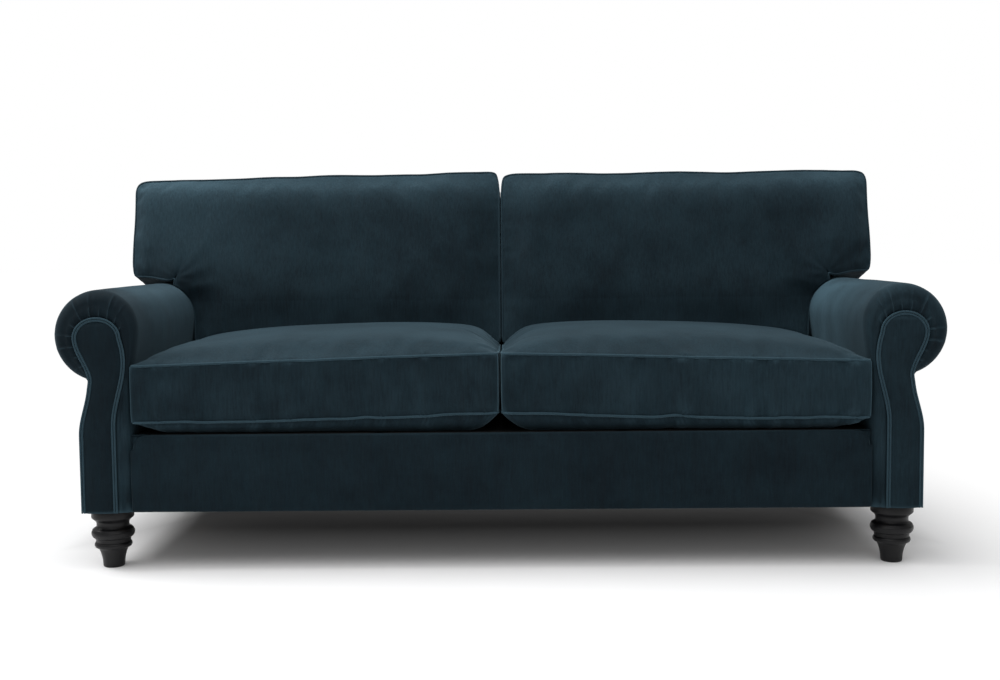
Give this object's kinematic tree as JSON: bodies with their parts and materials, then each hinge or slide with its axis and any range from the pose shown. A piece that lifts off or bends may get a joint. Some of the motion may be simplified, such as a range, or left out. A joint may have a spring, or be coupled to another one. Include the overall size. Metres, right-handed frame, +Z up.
{
  "type": "sofa",
  "caption": "Roll-arm sofa with loose box seat cushions, T-shaped back cushions that lie over the arms, piped scroll arm fronts and short turned wooden feet.",
  "frame": {"origin": "on the floor, under the centre of the sofa's box", "axes": "+X along the sofa's width, to the right when it is seen from the front; -Y towards the front; +Z up"},
  "size_m": [2.0494, 0.9192, 0.9394],
  "materials": {
    "velvet": "matte",
    "lining": "matte",
    "frame_wood": "matte",
    "foot_wood": "satin",
    "spring_steel": "satin",
    "plated_steel": "satin"
  },
  "bodies": {
    "sofa_frame": {"front_rail": "frame_wood", "rear_rail": "frame_wood", "centre_rail": "frame_wood", "side_rail_left": "frame_wood", "side_rail_right": "frame_wood", "corner_block_front_left": "frame_wood", "corner_block_front_right": "frame_wood", "corner_block_rear_left": "frame_wood", "corner_block_rear_right": "frame_wood", "arm_front_board_left": "frame_wood", "arm_front_board_right": "frame_wood", "arm_top_rail_left": "frame_wood", "arm_top_rail_right": "frame_wood", "arm_lower_rail_left": "frame_wood", "arm_lower_rail_right": "frame_wood", "back_post_left": "frame_wood", "back_post_right": "frame_wood", "back_top_rail": "frame_wood", "back_lower_rail": "frame_wood", "back_centre_post": "frame_wood", "seat_spring_1": "spring_steel", "seat_spring_2": "spring_steel", "seat_spring_3": "spring_steel", "seat_spring_4": "spring_steel", "seat_spring_5": "spring_steel", "seat_spring_6": "spring_steel", "seat_spring_7": "spring_steel", "seat_spring_8": "spring_steel", "arm_upholstery_left": "velvet", "arm_upholstery_right": "velvet", "arm_front_pad_left": "velvet", "arm_front_pad_right": "velvet", "arm_facing_left": "velvet", "arm_facing_right": "velvet", "outside_arm_panel_left": "velvet", "outside_arm_panel_right": "velvet", "front_border": "velvet", "seat_deck": "lining", "dust_cover": "lining", "inside_back_pad": "velvet", "back_top_pad": "velvet", "back_end_border_left": "velvet", "back_end_border_right": "velvet", "outside_back_panel": "velvet", "foot_front_left": "foot_wood", "foot_front_right": "foot_wood", "foot_rear_left": "foot_wood", "foot_rear_right": "foot_wood", "foot_bolt_front_left": "plated_steel", "foot_bolt_front_right": "plated_steel", "foot_bolt_rear_left": "plated_steel", "foot_bolt_rear_right": "plated_steel", "t_nut_front_left": "plated_steel", "t_nut_front_right": "plated_steel", "t_nut_rear_left": "plated_steel", "t_nut_rear_right": "plated_steel"},
    "seat_cushion_left_body": {"seat_cushion_left": "velvet"},
    "seat_cushion_right_body": {"seat_cushion_right": "velvet"},
    "back_cushion_left_body": {"back_cushion_left": "velvet"},
    "back_cushion_right_body": {"back_cushion_right": "velvet"}
  },
  "joints": [
    {"name": "seat_cushion_left_slide", "type": "slide", "parent": "sofa_frame", "child": "seat_cushion_left_body", "axis": [0, -1, 0], "range_m": [0, 0.75]},
    {"name": "seat_cushion_right_slide", "type": "slide", "parent": "sofa_frame", "child": "seat_cushion_right_body", "axis": [0, -1, 0], "range_m": [0, 0.75]},
    {"name": "back_cushion_left_lift", "type": "slide", "parent": "sofa_frame", "child": "back_cushion_left_body", "axis": [0, 0.1822, 0.9833], "range_m": [0, 0.45]},
    {"name": "back_cushion_right_lift", "type": "slide", "parent": "sofa_frame", "child": "back_cushion_right_body", "axis": [0, 0.1822, 0.9833], "range_m": [0, 0.45]}
  ]
}
